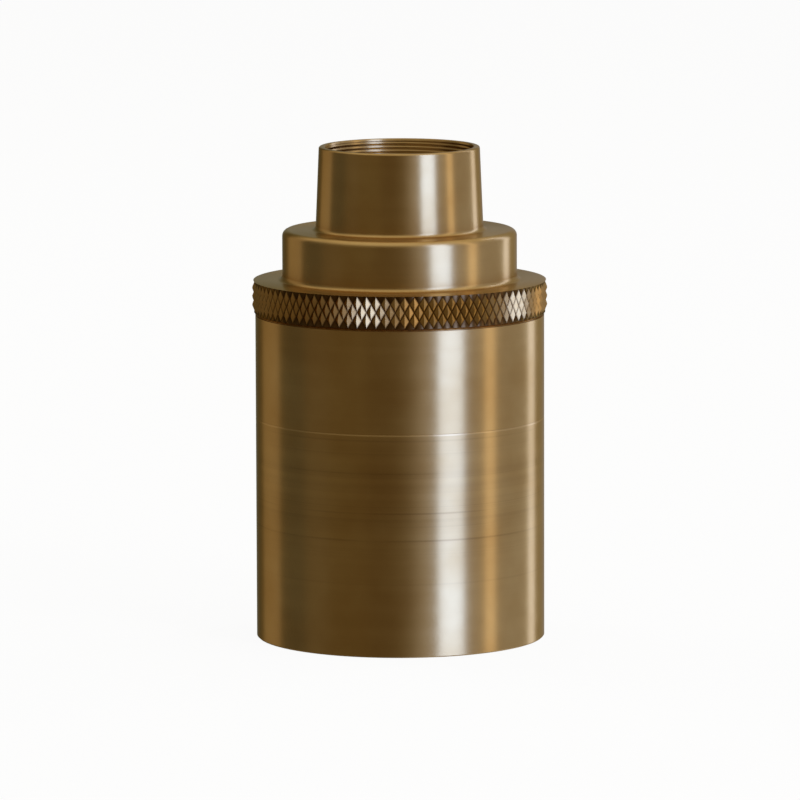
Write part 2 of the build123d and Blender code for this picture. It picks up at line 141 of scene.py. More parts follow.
# Room: plain white to the camera and through anything clear. The brass mirrors it dark on the camera's
# left, where dark_side points, mid grey elsewhere, warmer behind the holder and paler overhead. Each
# tint fades in over a span of the cosine of the angle from its direction.
dark_side = radians(-80)
dark_span = (-0.25, 0.12)
back_side = radians(165)
back_span = (0.80, 0.94)
back_share = 0.7
over_span = (0.35, 0.85)
room_dark = linear("#716857")
room_pale = linear("#acaebc")
room_back = linear("#a2a094")
room_over = linear("#e0dccf")
# Upright shapes in the room: an azimuth in degrees from the camera, and the share of each colour left
room_shapes = (
    (-180, "#d6e2dc"), (-154, "#d6e2dc"), (-144, "#ffffff"), (-114, "#ffffff"), (-108, "#dbe7f4"),
    (-86, "#dbe5f0"), (-78, "#ffffff"), (-64, "#ffffff"), (-56, "#f5f0dc"), (-30, "#f3eedb"),
    (-22, "#e2d9c4"), (-6, "#e2d9c4"), (4, "#ffffff"), (180, "#ffffff"))
world = bpy.data.worlds.new("studio")
world.use_nodes = True
bpy.context.scene.world = world
tree = world.node_tree
tree.nodes.clear()
toward = add(tree, "ShaderNodeTexCoord").outputs["Generated"]
axis = (sin(dark_side), -cos(dark_side), 0)
facing = add(tree, "ShaderNodeVectorMath", {0: toward, 1: axis}, operation="DOT_PRODUCT").outputs["Value"]
share = add(tree, "ShaderNodeMapRange", {0: facing, 1: dark_span[0], 2: dark_span[1]},
            interpolation_type="SMOOTHSTEP")
tone = add(tree, "ShaderNodeMix", {0: share, 6: room_pale, 7: room_dark}, data_type="RGBA")
axis = (sin(back_side), -cos(back_side), 0)
facing = add(tree, "ShaderNodeVectorMath", {0: toward, 1: axis}, operation="DOT_PRODUCT").outputs["Value"]
behind = add(tree, "ShaderNodeMapRange", {0: facing, 1: back_span[0], 2: back_span[1], 4: back_share})
tone = add(tree, "ShaderNodeMix", {0: behind, 6: tone.outputs[2], 7: room_back}, data_type="RGBA")
way = add(tree, "ShaderNodeSeparateXYZ", {0: toward}).outputs
forward = add(tree, "ShaderNodeMath", {0: way["Y"], 1: -1.0}, operation="MULTIPLY")
azimuth = add(tree, "ShaderNodeMath", {0: way["X"], 1: forward}, operation="ARCTAN2")
round_room = add(tree, "ShaderNodeMapRange", {0: azimuth, 1: -pi, 2: pi})
shapes = add(tree, "ShaderNodeValToRGB", {"Fac": round_room})
stops = shapes.color_ramp.elements
for index, (side, colour) in enumerate(room_shapes):
    spot = side / 360 + 0.5
    stop = stops.new(spot) if 0 < spot < 1 else stops[index]
    stop.color = linear(colour)
tone = add(tree, "ShaderNodeMix", {0: 1.0, 6: tone.outputs[2], 7: shapes},
           data_type="RGBA", blend_type="MULTIPLY")
above = add(tree, "ShaderNodeMapRange", {0: way["Z"], 1: over_span[0], 2: over_span[1]},
            interpolation_type="SMOOTHSTEP")
tone = add(tree, "ShaderNodeMix", {0: above, 6: tone.outputs[2], 7: room_over}, data_type="RGBA")
room = add(tree, "ShaderNodeBackground", {"Color": tone.outputs[2], "Strength": 1.0})
plain = add(tree, "ShaderNodeBackground", {"Color": linear("#ffffff"), "Strength": 1.0})
rays = add(tree, "ShaderNodeLightPath").outputs
clear = add(tree, "ShaderNodeMath", {0: rays["Is Camera Ray"], 1: rays["Is Transmission Ray"]},
            operation="MAXIMUM")
both = add(tree, "ShaderNodeMixShader", {0: clear, 1: room, 2: plain})
add(tree, "ShaderNodeOutputWorld", {"Surface": both})


# Soft boxes: tall lights round the holder, which draw the bright upright bands of turned brass. Each has
# an azimuth from the camera towards its right, a width as an angle, the tint and brightness that the
# turned brass mirrors, and the brightness of the plain white that lights everything else.
box_distance = 700 * mm
box_height = 1500 * mm
box_centre = -40 * mm
soft_boxes = {
    "window": (41, 21, "#80a3ff", 4.35, 3.2),
    "warm_card": (76, 10, "#fff4ea", 0.61, 1.6),
    "pale_card": (129, 12, "#a2b7ff", 2.2, 2.0),
    "left_card": (-126, 29, "#fff0e2", 0.165, 1.4),
}
lit_by_tinted = bpy.data.collections.new("lit by the tinted boxes")
kept_from_white = bpy.data.collections.new("kept from the white boxes")


def tinted_light(piece):
    """Light a piece by the tinted boxes and not by the white ones, which light every other piece."""
    lit_by_tinted.objects.link(piece)
    kept_from_white.objects.link(piece)
    for member in kept_from_white.collection_objects:
        member.light_linking.link_state = "EXCLUDE"


def soft_box(name, azimuth, width, colour, brightness, receivers):
    """A tall soft box that faces the holder from this side and lights what the receivers say."""
    box_width = 2 * box_distance * tan(radians(width / 2))
    lamp = bpy.data.lights.new(name, "AREA")
    lamp.shape = "RECTANGLE"
    lamp.size = box_width
    lamp.size_y = box_height
    lamp.color = linear(colour)[:3]
    lamp.energy = 4 * brightness * box_width * box_height
    where = bpy.data.objects.new(name, lamp)
    bpy.context.scene.collection.objects.link(where)
    side = radians(azimuth)
    where.location = (box_distance * sin(side), -box_distance * cos(side), box_centre)
    where.rotation_euler = (radians(90), 0, side)
    where.light_linking.receiver_collection = receivers


for name, (azimuth, width, tint, mirrored, plain_level) in soft_boxes.items():
    soft_box(name, azimuth, width, tint, mirrored, lit_by_tinted)
    soft_box(name + "_white", azimuth, width, "#ffffff", plain_level, kept_from_white)


# Cap: neck, shoulder tier and knurled rim, turned from one bar of brass. The neck has a fine thread
# inside, the rim is rolled with a diamond knurl, and every edge is broken with a small round.
cap_low, cap_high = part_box("cap")
rim_foot, lip_top = cap_low.z, cap_high.z
neck_height = 10.7 * mm
tier_height = 6.45 * mm
tier_top = lip_top - neck_height
rim_top = tier_top - tier_height
case_radius = 18.6 * mm
knurl_depth = 0.4 * mm
knurl_teeth = 96
knurl_row = 1.09 * mm
knurl_middle = (rim_foot + rim_top) / 2 + 0.13 * mm
knurl_half_height = 2.06 * mm
rim_edge_radius = case_radius + 0.24 * mm
rim_edge_height = 0.02 * mm
rim_top_bevel = 0.35 * mm
rim_foot_round = 0.05 * mm
tier_radius = 15.1 * mm
tier_foot_round = 0.6 * mm
tier_edge_round = 0.8 * mm
neck_foot_radius = 10.8 * mm
neck_foot_round = 0.55 * mm
neck_lip_radius = 10.35 * mm
neck_lip_round = 0.25 * mm
neck_mouth_round = 0.08 * mm
neck_bore = 9.5 * mm
neck_step = 8.6 * mm
neck_thread = 6.0 * mm
neck_pitch = 0.5 * mm
neck_thread_depth = 0.09 * mm
web_top = lip_top - 11.1 * mm
web_foot = web_top - 2.0 * mm
web_round = 0.3 * mm
bolt_way = 5.06 * mm
tier_bore = 13.2 * mm
cap_bore = 17.8 * mm
cap_ceiling = rim_foot + 3.2 * mm
bore_chamfer = 0.3 * mm
guard = 0.03 * mm


def rounded(corners, steps=5):
    """Outline points through corners of (radius, height) or (radius, height, round).

    A round starts and ends with a point a guard further off, which keeps the shading of the flats flat.
    """
    points = []
    for index, corner in enumerate(corners):
        here = Vector(corner[:2])
        if len(corner) < 3:
            points.append(here)
            continue
        back = (Vector(corners[index - 1][:2]) - here).normalized()
        ahead = (Vector(corners[(index + 1) % len(corners)][:2]) - here).normalized()
        half = back.angle(ahead) / 2
        reach = corner[2] / tan(half)
        centre = here + (back + ahead).normalized() * corner[2] / sin(half)
        first, last = here + back * reach - centre, here + ahead * reach - centre
        sweep = atan2(first.cross(last), first.dot(last))
        points.append(here + back * (reach + guard))
        points += [centre + Matrix.Rotation(sweep * step / steps, 2) @ first for step in range(steps + 1)]
        points.append(here + ahead * (reach + guard))
    return points


def turn(name, outline, columns=288, weights=None, diamonds=None):
    """A closed piece turned about Z. Its UV map runs round the axis in U, and weights mark its rings.

    Rings that diamonds gives a row number are split into triangles along the knurl's grooves.
    """
    rings = len(outline)
    area = sum(a.x * b.y - b.x * a.y for a, b in zip(outline, outline[1:] + outline[:1]))
    step = 1 if area > 0 else -1
    outline = outline[::step]
    diamonds = (diamonds or [None] * rings)[::step]
    angles = [2 * pi * column / columns for column in range(columns)]
    vertices = [(p.x * cos(angle), p.x * sin(angle), p.y) for p in outline for angle in angles]
    faces = []
    places = []
    along = 0
    for ring in range(rings):
        after = (ring + 1) % rings
        further = along + (outline[after] - outline[ring]).length
        for column in range(columns):
            beside = (column + 1) % columns
            left, right = column / columns, (column + 1) / columns
            corners = [(ring * columns + column, left, along), (ring * columns + beside, right, along),
                       (after * columns + beside, right, further), (after * columns + column, left, further)]
            shares = [(0, 1, 2, 3)]
            if None not in (diamonds[ring], diamonds[after]):
                on_crest = (column + diamonds[ring]) % 2 == 0
                shares = [(0, 1, 3), (1, 2, 3)] if on_crest else [(0, 1, 2), (0, 2, 3)]
            for share in shares:
                faces.append([corners[index][0] for index in share])
                places += [value for index in share for value in corners[index][1:]]
        along = further
    mesh = bpy.data.meshes.new(name)
    mesh.from_pydata(vertices, [], faces)
    mesh.uv_layers.new(name="turned").data.foreach_set("uv", places)
    for label, values in (weights or {}).items():
        kept = mesh.attributes.new(label, "FLOAT", "POINT")
        kept.data.foreach_set("value", [value for value in values[::step] for _ in angles])
    return mesh_object(name, mesh)


def finish_edges(piece, degrees=30):
    """Smooth shading with crisp edges where two faces meet more sharply than this."""
    piece.data.shade_smooth()
    piece.data.set_sharp_from_angle(angle=radians(degrees))


def wave(tree, turns):
    """A triangle wave of the turns, one at every whole turn and nought halfway between."""
    shifted = add(tree, "ShaderNodeMath", {0: turns, 1: 0.5}, operation="ADD")
    part = add(tree, "ShaderNodeMath", {0: shifted, 1: 1.0}, operation="FLOORED_MODULO")
    middle = add(tree, "ShaderNodeMath", {0: part, 1: 0.5}, operation="SUBTRACT")
    size = add(tree, "ShaderNodeMath", {0: middle}, operation="ABSOLUTE")
    return add(tree, "ShaderNodeMath", {0: size, 1: -2.0, 2: 1.0}, operation="MULTIPLY_ADD")


def cutting_tree():
    """Geometry nodes that roll a diamond knurl and a thread into a turned piece."""
    tree = bpy.data.node_groups.new("knurl and thread", "GeometryNodeTree")
    for label, kind in (("Geometry", "Geometry"), ("Knurl teeth", "Float"), ("Knurl row", "Float"),
                        ("Knurl middle", "Float"), ("Knurl depth", "Float"), ("Thread pitch", "Float"),
                        ("Thread start", "Float"), ("Thread depth", "Float"), ("Thread rounding", "Float"),
                        ("Material", "Material")):
        tree.interface.new_socket(label, in_out="INPUT", socket_type="NodeSocket" + kind)
    tree.interface.new_socket("Geometry", in_out="OUTPUT", socket_type="NodeSocketGeometry")
    given = add(tree, "NodeGroupInput").outputs
    place = add(tree, "ShaderNodeSeparateXYZ", {0: add(tree, "GeometryNodeInputPosition")}).outputs
    angle = add(tree, "ShaderNodeMath", {0: place["Y"], 1: place["X"]}, operation="ARCTAN2")
    turns = add(tree, "ShaderNodeMath", {0: angle, 1: 2 * pi}, operation="DIVIDE")

    # Diamond knurl: two sets of slanting grooves, left and right, with a pyramid between four of them
    teeth = add(tree, "ShaderNodeMath", {0: turns, 1: given["Knurl teeth"]}, operation="MULTIPLY")
    over = add(tree, "ShaderNodeMath", {0: place["Z"], 1: given["Knurl middle"]}, operation="SUBTRACT")
    pair = add(tree, "ShaderNodeMath", {0: given["Knurl row"], 1: 2.0}, operation="MULTIPLY")
    rows = add(tree, "ShaderNodeMath", {0: over, 1: pair}, operation="DIVIDE")
    right = wave(tree, add(tree, "ShaderNodeMath", {0: teeth, 1: rows}, operation="ADD"))
    left = wave(tree, add(tree, "ShaderNodeMath", {0: teeth, 1: rows}, operation="SUBTRACT"))
    lower = add(tree, "ShaderNodeMath", {0: right, 1: left}, operation="MINIMUM")
    pyramid = add(tree, "ShaderNodeMath", {0: lower, 1: 0.0}, operation="MAXIMUM")
    on_knurl = add(tree, "GeometryNodeInputNamedAttribute", {"Name": "knurl"}, data_type="FLOAT")
    share_of_crest = add(tree, "ShaderNodeMath", {0: pyramid, 1: on_knurl}, operation="MULTIPLY")
    raised = add(tree, "ShaderNodeMath", {0: share_of_crest, 1: given["Knurl depth"]}, operation="MULTIPLY")

    # Thread: a right-hand groove, cut with a blunt crest and root or, for a sheet, rolled round
    blunt = 0.15
    climb = add(tree, "ShaderNodeMath", {0: place["Z"], 1: given["Thread start"]}, operation="SUBTRACT")
    climbed = add(tree, "ShaderNodeMath", {0: climb, 1: given["Thread pitch"]}, operation="DIVIDE")
    groove = wave(tree, add(tree, "ShaderNodeMath", {0: climbed, 1: turns}, operation="SUBTRACT"))
    cut = add(tree, "ShaderNodeMath", {0: groove, 1: 1 + 2 * blunt, 2: -blunt},
              operation="MULTIPLY_ADD", use_clamp=True)
    rolled = add(tree, "ShaderNodeMapRange", {0: groove}, interpolation_type="SMOOTHSTEP")
    profile = add(tree, "ShaderNodeMix", {0: given["Thread rounding"], 2: cut, 3: rolled}, data_type="FLOAT")
    on_thread = add(tree, "GeometryNodeInputNamedAttribute", {"Name": "thread"}, data_type="FLOAT")
    share = add(tree, "ShaderNodeMath", {0: profile, 1: on_thread}, operation="MULTIPLY")
    sunk = add(tree, "ShaderNodeMath", {0: share, 1: given["Thread depth"]}, operation="MULTIPLY")

    flat = add(tree, "ShaderNodeCombineXYZ", {"X": place["X"], "Y": place["Y"]})
    outward = add(tree, "ShaderNodeVectorMath", {0: flat}, operation="NORMALIZE")
    reach = add(tree, "ShaderNodeMath", {0: raised, 1: sunk}, operation="ADD")
    shift = add(tree, "ShaderNodeVectorMath", {0: outward, "Scale": reach}, operation="SCALE")
    moved = add(tree, "GeometryNodeSetPosition", {"Geometry": given["Geometry"], "Offset": shift})

    # The height above the grooves is kept for the colour, which darkens the grooves as pooled lacquer and
    # painted shade, and most as painted shade between the outer diamonds, which the wheel only half pressed.
    # Off the band nothing is darkened.
    # Painted shade: the gaps between the outer diamonds are darkened most.
    pooling_and_shade_power = 4.0
    in_band = add(tree, "GeometryNodeInputNamedAttribute", {"Name": "band"}, data_type="FLOAT")
    plain = add(tree, "ShaderNodeMath", {0: 1.0, 1: in_band}, operation="SUBTRACT")
    clear_of_pool_and_shade = add(tree, "ShaderNodeMath", {0: on_knurl, 1: pooling_and_shade_power}, operation="POWER")
    crest = add(tree, "ShaderNodeMath", {0: pyramid, 1: clear_of_pool_and_shade}, operation="MULTIPLY")
    height = add(tree, "ShaderNodeMath", {0: crest, 1: plain}, operation="MAXIMUM")
    kept = add(tree, "GeometryNodeStoreNamedAttribute",
               {"Geometry": moved, "Name": "height", "Value": height}, data_type="FLOAT", domain="POINT")
    real = add(tree, "GeometryNodeRealizeInstances", {0: kept})
    done = add(tree, "GeometryNodeSetMaterial", {"Geometry": real, "Material": given["Material"]})
    add(tree, "NodeGroupOutput", {0: done})
    return tree


def cut_by(piece, tree, sizes):
    """Run the tree on a piece with these sizes and keep the result as its plain mesh."""
    modifier = piece.modifiers.new("cut", "NODES")
    modifier.node_group = tree
    for socket in tree.interface.items_tree:
        if socket.in_out == "INPUT" and socket.name in sizes:
            modifier[socket.identifier] = sizes[socket.name]
    ready = piece.evaluated_get(bpy.context.evaluated_depsgraph_get())
    mesh = bpy.data.meshes.new_from_object(ready)
    piece.modifiers.clear()
    piece.data = mesh


# Antique brass, lathe-turned, under a satin lacquer: a brown gold with slow clouds of patina. The tool's
# lines run round the axis, so a reflection stays sharp from side to side and is drawn out up and down.
# The real lines are 0.1 mm apart, too fine to show, so they are drawn at 0.2 mm. Pattern sizes are in mm.
line_spacing = 0.2
line_depth = 0.01 * mm
band_spacing = 1.6
cloud_size = 9.0
pale_patina = linear("#c9a66a")
dull_patina = linear("#bd975b")
dark_line = linear("#7d5c34")
metal_edge_tint = linear("#e0d0ae")
satin_roughness = (0.275, 0.305)
lacquer_weight = 0.15


def millimetres(tree):
    """The place on the piece in millimetres, so that a pattern's scale is one over its real size."""
    place = add(tree, "ShaderNodeTexCoord").outputs["Object"]
    return add(tree, "ShaderNodeVectorMath", {0: place, "Scale": 1 / mm}, operation="SCALE")


turned_brass, tree = material("lathe-turned antique brass")
spot_mm = millimetres(tree)
part = add(tree, "ShaderNodeSeparateXYZ", {0: spot_mm}).outputs
flat = add(tree, "ShaderNodeCombineXYZ", {"X": part["X"], "Y": part["Y"]})
radius = add(tree, "ShaderNodeVectorMath", {0: flat}, operation="LENGTH").outputs["Value"]
along = add(tree, "ShaderNodeMath", {0: part["Z"], 1: radius}, operation="ADD")
lines = add(tree, "ShaderNodeTexNoise",
            {"W": along, "Scale": 1 / line_spacing, "Detail": 3.0, "Roughness": 0.7}, noise_dimensions="1D")
bands = add(tree, "ShaderNodeTexNoise",
            {"W": along, "Scale": 1 / band_spacing, "Detail": 4.0, "Roughness": 0.6}, noise_dimensions="1D")
clouds = add(tree, "ShaderNodeTexNoise", {"Vector": spot_mm, "Scale": 1 / cloud_size, "Detail": 3.0})
tone = add(tree, "ShaderNodeMapRange", {0: clouds, 1: 0.35, 2: 0.65})
patina = add(tree, "ShaderNodeMix", {0: tone, 6: dull_patina, 7: pale_patina}, data_type="RGBA")

# Lines and streaks show most in a band round the skirt, where hands rub it, and fade out above and below
rubbed_height = 20.0
rubbed_reach = (3.0, 9.0)
rubbed_share = 0.15
resting_share = 0.025
hairline_strength = 2.6
from_hand = add(tree, "ShaderNodeMath", {0: part["Z"], 1: rubbed_height}, operation="SUBTRACT")
off_hand = add(tree, "ShaderNodeMath", {0: from_hand}, operation="ABSOLUTE")
rubbed = add(tree, "ShaderNodeMapRange",
             {0: off_hand, 1: rubbed_reach[0], 2: rubbed_reach[1], 3: rubbed_share, 4: resting_share})
streak = add(tree, "ShaderNodeMapRange", {0: bands, 1: 0.32, 2: 0.62, 3: 1.0, 4: 0.0})
share = add(tree, "ShaderNodeMath", {0: streak, 1: rubbed}, operation="MULTIPLY")
hairline = add(tree, "ShaderNodeMapRange", {0: lines, 1: 0.26, 2: 0.36, 3: hairline_strength, 4: 0.0})
fine = add(tree, "ShaderNodeMath", {0: hairline, 1: rubbed}, operation="MULTIPLY")
share = add(tree, "ShaderNodeMath", {0: share, 1: fine}, operation="MAXIMUM")

# Deeper marks of the tool: the height in mm and how dark each is. They fade in and out round the skirt.
tool_marks = ((27.8, 0.22), (26.1, 0.15), (23.6, 0.34), (18.5, 0.44), (16.8, 0.2), (15.0, 0.44), (9.4, 0.12))
mark_width = 0.2
fade_size = 14.0
wide = add(tree, "ShaderNodeTexNoise", {"Vector": spot_mm, "Scale": 1 / fade_size, "Detail": 2.0})
fading = add(tree, "ShaderNodeMapRange", {0: wide, 1: 0.38, 2: 0.60, 3: 0.2, 4: 1.0})
for mark_height, darkness in tool_marks:
    from_mark = add(tree, "ShaderNodeMath", {0: part["Z"], 1: mark_height}, operation="SUBTRACT")
    off_mark = add(tree, "ShaderNodeMath", {0: from_mark}, operation="ABSOLUTE")
    mark = add(tree, "ShaderNodeMapRange", {0: off_mark, 2: mark_width, 3: darkness, 4: 0.0})
    faded = add(tree, "ShaderNodeMath", {0: mark, 1: fading}, operation="MULTIPLY")
    share = add(tree, "ShaderNodeMath", {0: share, 1: faded}, operation="MAXIMUM")
streaked = add(tree, "ShaderNodeMix", {0: share, 6: patina.outputs[2], 7: dark_line}, data_type="RGBA")

# Bare edges are paler, partly worn and partly a painted highlight where the seam and foot catch the light.
# The knurl is stained unevenly, and its grooves are darkened: partly pooled lacquer, partly painted shade.
# The pale colour of the bare edges: worn brass, brightened further as a painted highlight.
bare_edge_and_highlight = linear("#d3b074")
knurl_stain = linear("#c29150")
# The groove colour: partly pooled lacquer, partly painted shade in the recesses.
pooled_lacquer_and_shade = linear("#42240b")
grit_size = 0.2
stain_share = (0.15, 0.65)
pooled_and_shade_share = 0.92
pooled_and_shade_height = 0.30
height = add(tree, "ShaderNodeAttribute", attribute_name="height").outputs["Fac"]
# Darker towards the groove bottoms: painted shade, with some pooled lacquer.
pooled_and_shaded = add(tree, "ShaderNodeMapRange", {0: height, 1: 0.0, 2: pooled_and_shade_height, 3: pooled_and_shade_share, 4: 0.0})
grit = add(tree, "ShaderNodeTexNoise",
           {"Vector": spot_mm, "Scale": 1 / grit_size, "Detail": 3.0, "Roughness": 0.6})
stain = add(tree, "ShaderNodeMapRange", {0: grit, 1: 0.40, 2: 0.60, 3: stain_share[0], 4: stain_share[1]})
on_knurl = add(tree, "ShaderNodeAttribute", attribute_name="knurl").outputs["Fac"]
stained = add(tree, "ShaderNodeMath", {0: stain, 1: on_knurl}, operation="MULTIPLY")
# The seam and foot edges are painted paler: wear and a painted highlight.
worn_and_highlight = add(tree, "ShaderNodeAttribute", attribute_name="worn_and_highlight").outputs["Fac"]
bare_and_highlit = add(tree, "ShaderNodeMix", {0: worn_and_highlight, 6: streaked.outputs[2], 7: bare_edge_and_highlight}, data_type="RGBA")
browned = add(tree, "ShaderNodeMix", {0: stained, 6: bare_and_highlit.outputs[2], 7: knurl_stain}, data_type="RGBA")
colour = add(tree, "ShaderNodeMix", {0: pooled_and_shaded, 6: browned.outputs[2], 7: pooled_lacquer_and_shade}, data_type="RGBA")
rough = add(tree, "ShaderNodeMapRange",
            {0: bands, 1: 0.3, 2: 0.7, 3: satin_roughness[0], 4: satin_roughness[1]})
relief = add(tree, "ShaderNodeBump", {"Strength": 0.075, "Distance": line_depth, "Height": lines})
lacquer = add(tree, "ShaderNodeMapRange", {0: on_knurl, 3: lacquer_weight, 4: 0.0})
around = add(tree, "ShaderNodeTangent", direction_type="UV_MAP", uv_map="turned")
shine = add(tree, "ShaderNodeBsdfPrincipled",
            {"Base Color": colour.outputs[2], "Metallic": 1.0, "Roughness": rough,
             "Specular Tint": metal_edge_tint, "Anisotropic": 0.8, "Anisotropic Rotation": 0.25,
             "Tangent": around, "Normal": relief,
             "Coat Weight": lacquer, "Coat Roughness": 0.15, "Coat IOR": 1.5})
add(tree, "ShaderNodeOutputMaterial", {"Surface": shine})

# The cap's outline, anticlockwise from its bore at the foot. The knurl's weight is how far each ring is
# rolled, the thread's how far it is cut, and the band's how much it is darkened, as pooled lacquer
# and painted shade.
outer_row = 2
outer_row_press = 0.45
thread_rows = 96
# Inside the neck the thread is darkened a little: painted shade in the bore.
thread_lacquer_and_shade = 0.74
thread_foot = lip_top - neck_thread
thread_head = lip_top - neck_lip_round
outline = rounded([
    (cap_bore, rim_foot + bore_chamfer),
    (cap_bore + bore_chamfer, rim_foot),
    (case_radius, rim_foot, rim_foot_round)])
weights = {"knurl": [0] * len(outline), "band": [0] * len(outline)}
diamonds = [None] * len(outline)
for row in range(-outer_row, outer_row + 1):
    rise = max(-knurl_half_height, min(knurl_half_height, row * knurl_row))
    outline.append(Vector((case_radius, knurl_middle + rise)))
    weights["knurl"].append(outer_row_press if abs(row) == outer_row else 1)
    weights["band"].append(1)
    diamonds.append(row)
outline += rounded([
    (rim_edge_radius, knurl_middle + knurl_half_height + rim_edge_height),
    (rim_edge_radius - rim_top_bevel, rim_top),
    (tier_radius, rim_top, tier_foot_round),
    (tier_radius, tier_top, tier_edge_round),
    (neck_foot_radius, tier_top, neck_foot_round),
    (neck_lip_radius, lip_top, neck_lip_round),
    (neck_bore + neck_thread_depth, lip_top, neck_mouth_round),
    (neck_bore, thread_head)])
weights["thread"] = [0] * len(outline)
weights["band"] += [0] * (len(outline) - len(weights["band"]))
for row in range(1, thread_rows):
    weights["band"].append(thread_lacquer_and_shade)
    outline.append(Vector((neck_bore, thread_head + (thread_foot - thread_head) * row / thread_rows)))
    weights["thread"].append(1)
outline += rounded([
    (neck_bore, thread_foot),
    (neck_step, thread_foot),
    (neck_step, web_top, web_round),
    (bolt_way, web_top),
    (bolt_way, web_foot),
    (tier_bore, web_foot),
    (tier_bore, cap_ceiling),
    (cap_bore, cap_ceiling)])
for values in weights.values():
    values += [0] * (len(outline) - len(values))
diamonds += [None] * (len(outline) - len(diamonds))
cap = turn("cap_turned", outline, 2 * knurl_teeth, weights, diamonds)
cutting = cutting_tree()
cut_by(cap, cutting, {
    "Knurl teeth": float(knurl_teeth), "Knurl row": knurl_row, "Knurl middle": knurl_middle,
    "Knurl depth": knurl_depth, "Thread pitch": neck_pitch, "Thread start": thread_foot,
    "Thread depth": neck_thread_depth, "Thread rounding": 1.0, "Material": turned_brass})
finish_edges(cap, 40)
tinted_light(cap)
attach(cap, "cap")
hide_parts("cap")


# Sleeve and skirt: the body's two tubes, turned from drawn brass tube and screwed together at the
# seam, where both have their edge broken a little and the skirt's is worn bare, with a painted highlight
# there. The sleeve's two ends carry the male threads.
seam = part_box("lower_skirt")[1].z
sleeve_foot, sleeve_head = (corner.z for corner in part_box("upper_sleeve"))
edge_break = 0.03 * mm
skirt_edge_break = 0.07 * mm
skirt_edge_height = 0.2 * mm
thread_radius = 17.75 * mm
thread_chamfer = 0.2 * mm
thread_relief = 0.3 * mm
case_bore = 16.9 * mm
ledge_bore = 16.1 * mm
ledge_foot = seam + 1.0 * mm
ledge_top = ledge_foot + 1.6 * mm
case_pitch = 1.0 * mm
case_thread_depth = 0.45 * mm
rows_to_pitch = 10


def male_thread(low, high):
    """The outline's points and their weights for a thread between two heights."""
    rows = round((high - low) / case_pitch * rows_to_pitch)
    points = [Vector((thread_radius, low + (high - low) * row / rows)) for row in range(rows + 1)]
    return points, [0] + [-1] * (rows - 1) + [0]


lower_thread, lower_weights = male_thread(sleeve_foot + thread_chamfer, seam - thread_relief)
upper_thread, upper_weights = male_thread(rim_foot + thread_relief, sleeve_head - thread_chamfer)
outline = rounded([(case_bore, sleeve_foot), (thread_radius - thread_chamfer, sleeve_foot)])
thread_weights = [0] * len(outline) + lower_weights
outline += lower_thread + rounded([
    (thread_radius, seam), (case_radius - edge_break, seam), (case_radius, seam + edge_break),
    (case_radius, rim_foot), (thread_radius, rim_foot)])
thread_weights += [0] * (len(outline) - len(thread_weights)) + upper_weights
outline += upper_thread + rounded([
    (thread_radius - thread_chamfer, sleeve_head), (case_bore, sleeve_head), (case_bore, ledge_top),
    (ledge_bore, ledge_top), (ledge_bore, ledge_foot), (case_bore, ledge_foot)])
thread_weights += [0] * (len(outline) - len(thread_weights))
sleeve = turn("sleeve_turned", outline, weights={"thread": thread_weights, "knurl": [0] * len(outline)})
cut_by(sleeve, cutting, {
    "Knurl teeth": 1.0, "Knurl row": knurl_row, "Knurl depth": 0.0,
    "Thread pitch": case_pitch, "Thread start": seam, "Thread depth": case_thread_depth,
    "Thread rounding": 0.0, "Material": turned_brass})
finish_edges(sleeve)
tinted_light(sleeve)
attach(sleeve, "sleeve")
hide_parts("upper_sleeve")

# The key that stops the porcelain from turning stands on the sleeve's ledge, soldered to its bore
key_width = 2.0 * mm
key_foot = ledge_foot + 0.8 * mm
key_head = ledge_top + 6.3 * mm
key_back = 17.3 * mm
key_side = radians(45)
key_corners = []
for height in (key_foot, key_head):
    for out, across in ((ledge_bore, -1), (key_back, -1), (key_back, 1), (ledge_bore, 1)):
        corner = Matrix.Rotation(key_side, 2) @ Vector((out, across * key_width / 2))
        key_corners.append((corner.x, corner.y, height))
key_mesh = bpy.data.meshes.new("sleeve_key")
key_mesh.from_pydata(key_corners, [], [(3, 2, 1, 0), (4, 5, 6, 7)] + [
    (side, (side + 1) % 4, (side + 1) % 4 + 4, side + 4) for side in range(4)])
key_mesh.uv_layers.new(name="turned")
key_mesh.materials.append(turned_brass)
key = mesh_object("sleeve_key", key_mesh)
tinted_light(key)
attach(key, "sleeve")

# The skirt has a lip inside its foot. Its foot chamfer and its edge at the seam are worn bare and painted
# paler as a highlight.
skirt_thread_bore = 17.8 * mm
thread_end_gap = 0.2 * mm
lip_bore = 16.2 * mm
lip_height = 1.4 * mm
lip_round = 0.1 * mm
foot_chamfer = 0.15 * mm
outside = [
    (lip_bore + bore_chamfer, 0, 0), (case_radius - foot_chamfer, 0, 1), (case_radius, foot_chamfer, 1),
    (case_radius, foot_chamfer + guard, 0), (case_radius, seam - skirt_edge_height - guard, 0),
    (case_radius, seam - skirt_edge_height, 1), (case_radius - skirt_edge_break, seam, 1)]
inside = rounded([
    (skirt_thread_bore, seam),
    (skirt_thread_bore, sleeve_foot - thread_end_gap), (case_bore, sleeve_foot - thread_end_gap),
    (case_bore, lip_height), (lip_bore, lip_height, lip_round), (lip_bore, bore_chamfer)])
outline = [Vector(corner[:2]) for corner in outside] + inside
# The foot chamfer and seam edge get the paler colour: wear and a painted highlight.
worn_and_highlight = [corner[2] for corner in outside] + [0] * len(inside)
skirt = turn("skirt_turned", outline, weights={"height": [1] * len(outline), "worn_and_highlight": worn_and_highlight})
skirt.data.materials.append(turned_brass)
finish_edges(skirt)
tinted_light(skirt)
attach(skirt, "skirt")
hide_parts("lower_skirt")


# Liner: a sheet of vulcanised fibre, bent to a split tube that lies loose in the case on the skirt's
# lip. Pressed from red-brown rag fibre, so it is matt and evenly coloured, with a faint felted grain.
grain_size = 0.35


